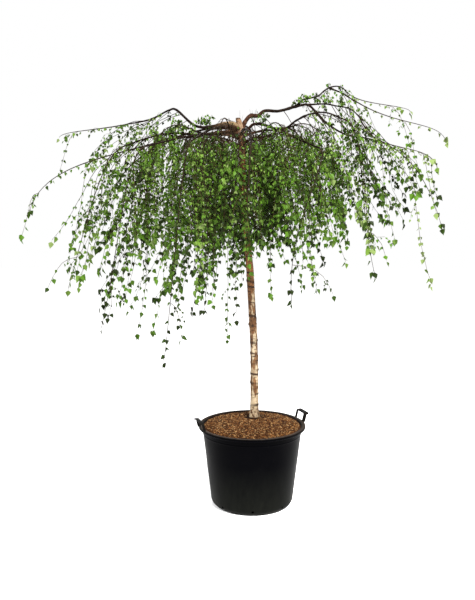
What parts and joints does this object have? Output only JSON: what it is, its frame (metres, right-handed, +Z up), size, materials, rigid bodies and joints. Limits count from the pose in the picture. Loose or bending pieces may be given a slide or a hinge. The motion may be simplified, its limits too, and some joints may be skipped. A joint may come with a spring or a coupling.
{
  "type": "potted weeping birch tree",
  "caption": "Weeping birch on a bare grafted stem, with long hanging leafy twigs, standing in a round nursery container with loop handles.",
  "frame": {"origin": "centre of the container's flat underside", "axes": "+Z up along the container's axis; -Y towards the viewer of the front; +X to the right"},
  "size_m": [2.2435, 2.0789, 2.2522],
  "materials": {
    "container_plastic": "satin",
    "compost": "matte",
    "stem_bark": "matte",
    "bough_bark": "matte",
    "leaves": "matte"
  },
  "bodies": {
    "root": {"bough_back": "bough_bark", "bough_back_centre": "bough_bark", "bough_back_left": "bough_bark", "bough_back_right": "bough_bark", "bough_front": "bough_bark", "bough_front_left": "bough_bark", "bough_front_right": "bough_bark", "bough_left_arch": "bough_bark", "bough_left_front": "bough_bark", "bough_left_low": "bough_bark", "bough_left_near": "bough_bark", "bough_middle_back_left": "bough_bark", "bough_middle_back_right": "bough_bark", "bough_middle_front_left": "bough_bark", "bough_middle_front_right": "bough_bark", "bough_middle_left": "bough_bark", "bough_middle_left_front": "bough_bark", "bough_middle_right": "bough_bark", "bough_middle_right_front": "bough_bark", "bough_right_arch": "bough_bark", "bough_right_crest": "bough_bark", "bough_right_main": "bough_bark", "bough_right_mid": "bough_bark", "bough_right_near": "bough_bark", "foliage_back": "leaves", "foliage_back_centre": "leaves", "foliage_back_left": "leaves", "foliage_back_right": "leaves", "foliage_front": "leaves", "foliage_front_left": "leaves", "foliage_front_right": "leaves", "foliage_inner_1": "leaves", "foliage_inner_2": "leaves", "foliage_inner_3": "leaves", "foliage_inner_4": "leaves", "foliage_inner_5": "leaves", "foliage_left_front": "leaves", "foliage_left_low": "leaves", "foliage_left_near": "leaves", "foliage_left_top": "leaves", "foliage_middle_back_left": "leaves", "foliage_middle_back_right": "leaves", "foliage_middle_front_left": "leaves", "foliage_middle_front_right": "leaves", "foliage_middle_left": "leaves", "foliage_middle_left_front": "leaves", "foliage_middle_right": "leaves", "foliage_middle_right_front": "leaves", "foliage_right_arch": "leaves", "foliage_right_crest": "leaves", "foliage_right_low": "leaves", "foliage_right_mid": "leaves", "foliage_right_near": "leaves", "handle_left": "container_plastic", "handle_right": "container_plastic", "pot": "container_plastic", "soil": "compost", "trunk": "stem_bark"}
  },
  "joints": []
}
